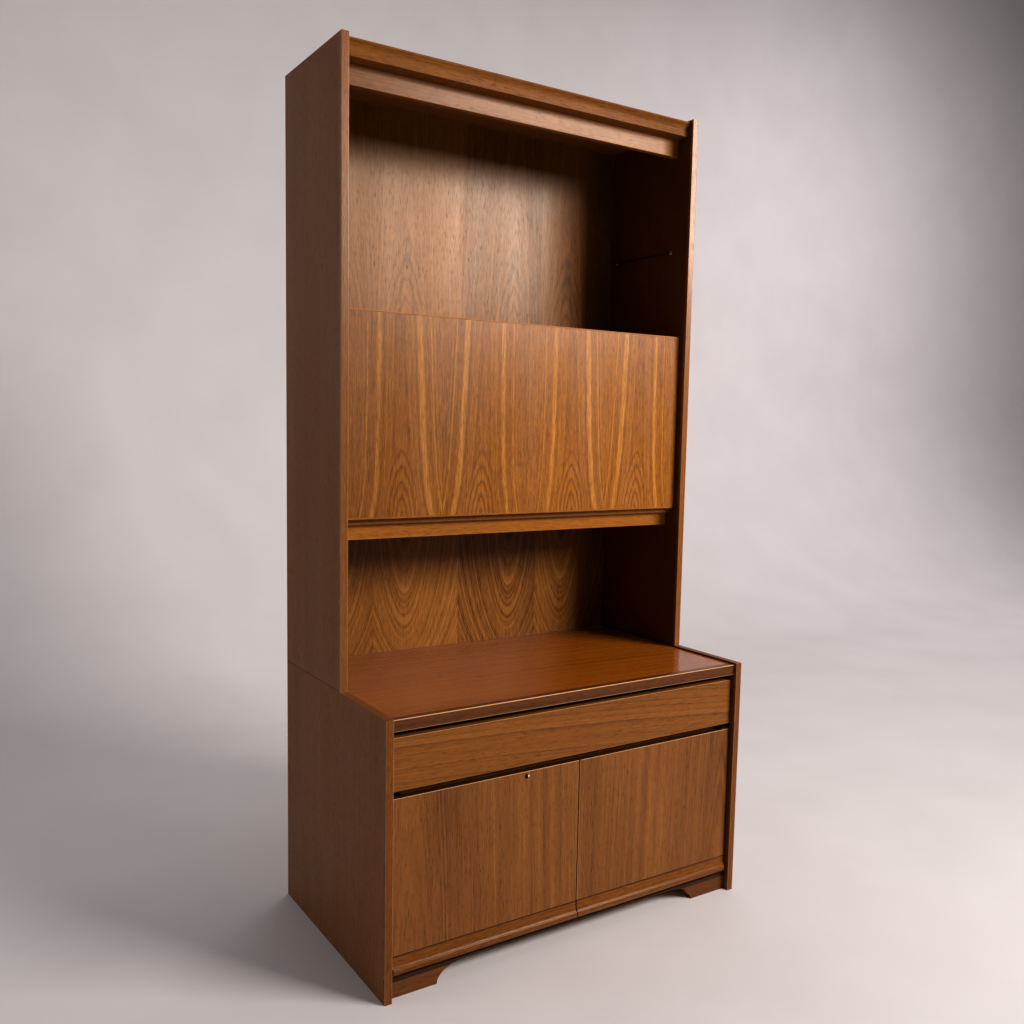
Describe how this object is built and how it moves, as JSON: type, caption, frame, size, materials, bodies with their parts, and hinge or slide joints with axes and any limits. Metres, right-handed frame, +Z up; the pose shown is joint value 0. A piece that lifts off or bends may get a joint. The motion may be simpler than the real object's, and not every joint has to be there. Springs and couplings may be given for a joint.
{
  "type": "secretary desk",
  "caption": "Tall two-piece teak secretary: open bay, drop-front desk on sliding stays, open niche, full-width drawer and a pair of doors on an arched plinth.",
  "frame": {"origin": "centre of the footprint, on the floor", "axes": "+Z up, the front faces -Y, +X to the right seen from the front"},
  "size_m": [0.915, 0.516, 1.83],
  "materials": {
    "teak_side_veneer": "dark teak veneer, satin oil",
    "teak_lipping": "solid teak edge, satin oil",
    "teak_front_veneer": "figured teak veneer, satin oil",
    "teak_moulding": "solid teak moulding, satin oil",
    "teak_board_veneer": "teak veneer, satin lacquer",
    "back_veneer": "crown-cut teak veneer",
    "beech": "plain beech, waxed",
    "birch_ply": "thin plywood",
    "brass": "aged brass",
    "steel": "bright zinc-plated steel",
    "dark_steel": "blackened steel",
    "catch_plastic": "brown moulded plastic"
  },
  "bodies": {
    "carcass": {"back_panel_screws": "steel", "base_back": "birch_ply", "base_bottom": "teak_board_veneer", "base_side_left": "teak_side_veneer", "base_side_lipping_left": "teak_lipping", "base_side_lipping_right": "teak_lipping", "base_side_right": "teak_side_veneer", "base_top": "teak_board_veneer", "base_top_lipping": "teak_moulding", "bay_floor": "teak_board_veneer", "cupboard_shelf": "teak_board_veneer", "desk_floor": "teak_board_veneer", "desk_floor_hinge_leaves": "brass", "desk_front_rail": "teak_moulding", "divider_board": "teak_board_veneer", "drawer_runners": "beech", "hutch_back": "back_veneer", "hutch_cornice": "teak_moulding", "hutch_pelmet": "teak_moulding", "hutch_side_left": "teak_side_veneer", "hutch_side_lipping_left": "teak_lipping", "hutch_side_lipping_right": "teak_lipping", "hutch_side_right": "teak_side_veneer", "hutch_top_board": "teak_board_veneer", "locating_dowels": "beech", "magnetic_catches": "catch_plastic", "pigeonhole_dividers": "teak_board_veneer", "pigeonhole_shelf": "teak_board_veneer", "pivot_brackets": "dark_steel", "plinth_backer": "beech", "plinth_rail": "teak_moulding", "shelf_pegs": "brass", "shelf_wires": "steel", "stay_pivots": "brass", "strike_plate": "brass"},
    "flap": {"flap_panel": "teak_front_veneer", "flap_lipping": "teak_lipping", "flap_hinge_leaves": "brass", "flap_stay_brackets": "brass", "flap_catch_plates": "steel"},
    "stay_arm_left": {"stay_arm_left": "brass"},
    "stay_arm_right": {"stay_arm_right": "brass"},
    "stay_block_left": {"stay_block_left": "brass"},
    "stay_block_right": {"stay_block_right": "brass"},
    "drawer": {"drawer_front": "teak_front_veneer", "drawer_side_left": "beech", "drawer_side_right": "beech", "drawer_back": "beech", "drawer_bed": "birch_ply"},
    "door_left": {"door_panel_left": "teak_front_veneer", "door_rail_left": "teak_moulding", "door_pivots_left": "dark_steel", "door_catch_plate_left": "steel", "lock_case": "dark_steel", "keyhole_plate": "brass"},
    "door_right": {"door_panel_right": "teak_front_veneer", "door_rail_right": "teak_moulding", "door_pivots_right": "dark_steel", "door_catch_plate_right": "steel"},
    "lock_bolt": {"lock_bolt": "brass"}
  },
  "joints": [
    {"name": "flap_drop", "type": "hinge", "parent": "carcass", "child": "flap", "pos_m": [0, -0.0095, 0.8985], "axis": [1, 0, 0], "range_deg": [0, 90]},
    {"name": "stay_arm_left_swing", "type": "hinge", "parent": "flap", "child": "stay_arm_left", "pos_m": [-0.4343, -0.0005, 1.02819], "axis": [1, 0, 0], "range_deg": [-45, 0]},
    {"name": "stay_block_left_turn", "type": "hinge", "parent": "carcass", "child": "stay_block_left", "pos_m": [-0.4343, 0.09004, 0.98211], "axis": [1, 0, 0], "range_deg": [0, 45]},
    {"name": "stay_arm_right_swing", "type": "hinge", "parent": "flap", "child": "stay_arm_right", "pos_m": [0.4343, -0.0005, 1.02819], "axis": [1, 0, 0], "range_deg": [-45, 0]},
    {"name": "stay_block_right_turn", "type": "hinge", "parent": "carcass", "child": "stay_block_right", "pos_m": [0.4343, 0.09004, 0.98211], "axis": [1, 0, 0], "range_deg": [0, 45]},
    {"name": "drawer_slide", "type": "slide", "parent": "carcass", "child": "drawer", "axis": [0, -1, 0], "range_m": [0, 0.3]},
    {"name": "door_left_swing", "type": "hinge", "parent": "carcass", "child": "door_left", "pos_m": [-0.4233, -0.238, 0.2175], "axis": [0, 0, -1], "range_deg": [0, 90]},
    {"name": "door_right_swing", "type": "hinge", "parent": "carcass", "child": "door_right", "pos_m": [0.4233, -0.238, 0.2175], "axis": [0, 0, 1], "range_deg": [0, 90]},
    {"name": "lock_bolt_slide", "type": "slide", "parent": "door_left", "child": "lock_bolt", "axis": [0, 0, 1], "range_m": [0, 0.007]}
  ],
  "couplings": [
    {"joint": "stay_arm_left_swing", "follows": "flap_drop", "ratio": -0.5},
    {"joint": "stay_block_left_turn", "follows": "flap_drop", "ratio": 0.5},
    {"joint": "stay_arm_right_swing", "follows": "flap_drop", "ratio": -0.5},
    {"joint": "stay_block_right_turn", "follows": "flap_drop", "ratio": 0.5}
  ]
}
